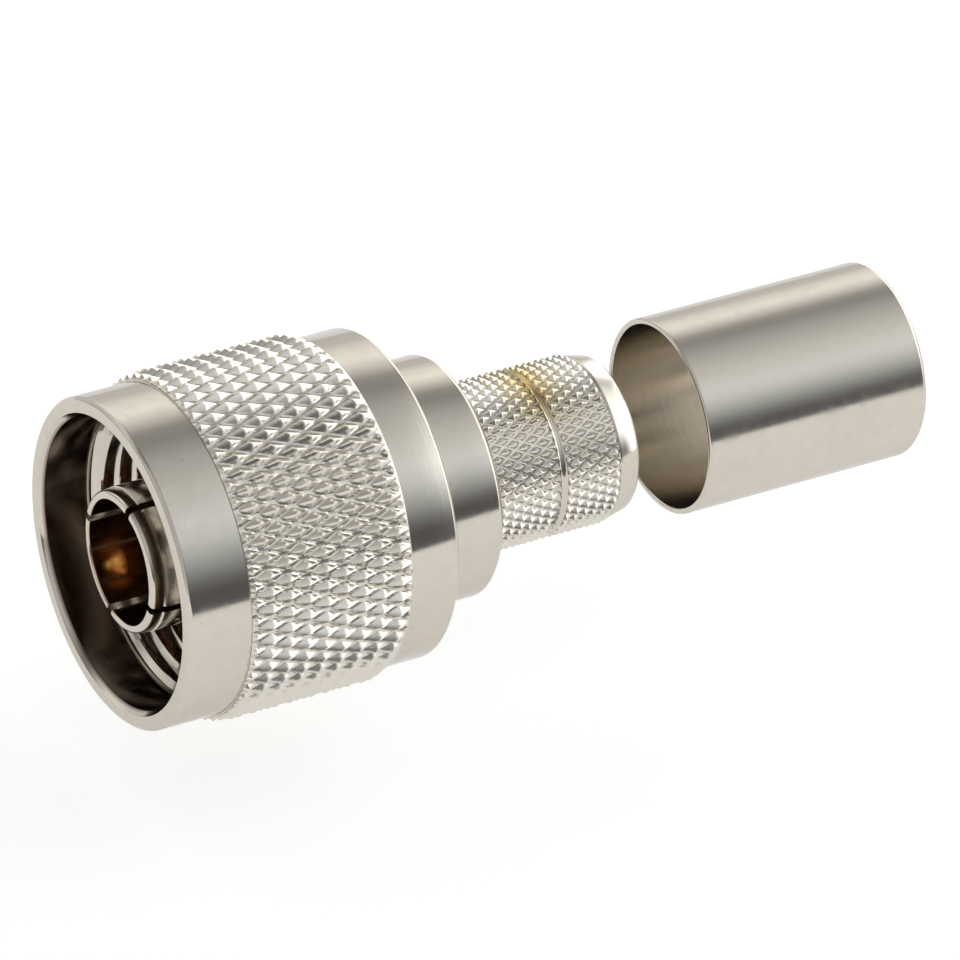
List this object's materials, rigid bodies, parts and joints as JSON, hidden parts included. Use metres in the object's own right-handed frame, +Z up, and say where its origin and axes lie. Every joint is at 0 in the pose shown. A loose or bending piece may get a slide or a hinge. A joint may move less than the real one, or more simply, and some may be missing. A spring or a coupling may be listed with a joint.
{
  "type": "n type connector",
  "caption": "Coaxial cable plug with a knurled screw-on coupling nut, a slotted outer contact round a gold plated pin, a knurled crimp stem and its loose crimp ferrule.",
  "frame": {"origin": "on the axis, at the front face of the outer contact, where a jack's reference plane meets it", "axes": "+X along the axis from the mating end to the cable end, +Z up, +Y away from the viewer who has the mating end on the left"},
  "size_m": [0.0484, 0.0196, 0.0196],
  "materials": {
    "nickel_plate": "bright nickel plated brass, knurled on the nut and the stem",
    "nickel_plate_copper": "satin nickel plated soft brass tube",
    "gold_plate": "gold plated brass",
    "white_ptfe": "plain white, waxy",
    "spring_bronze": "bare spring bronze",
    "silicone_rubber": "matt silicone rubber"
  },
  "bodies": {
    "plug": {"connector_body": "nickel_plate", "outer_contact": "nickel_plate", "centre_contact": "gold_plate", "front_insulator": "white_ptfe", "rear_insulator": "white_ptfe", "retaining_ring": "spring_bronze", "sealing_gasket": "silicone_rubber"},
    "nut": {"coupling_nut": "nickel_plate"},
    "ferrule": {"crimp_ferrule": "nickel_plate_copper"}
  },
  "joints": [
    {"name": "nut_turn", "type": "hinge", "parent": "plug", "child": "nut", "pos_m": [0.008, 0, 0], "axis": [1, 0, 0], "continuous": true},
    {"name": "ferrule_slide", "type": "slide", "parent": "plug", "child": "ferrule", "axis": [1, 0, 0], "range_m": [-0.0136, 0]}
  ]
}
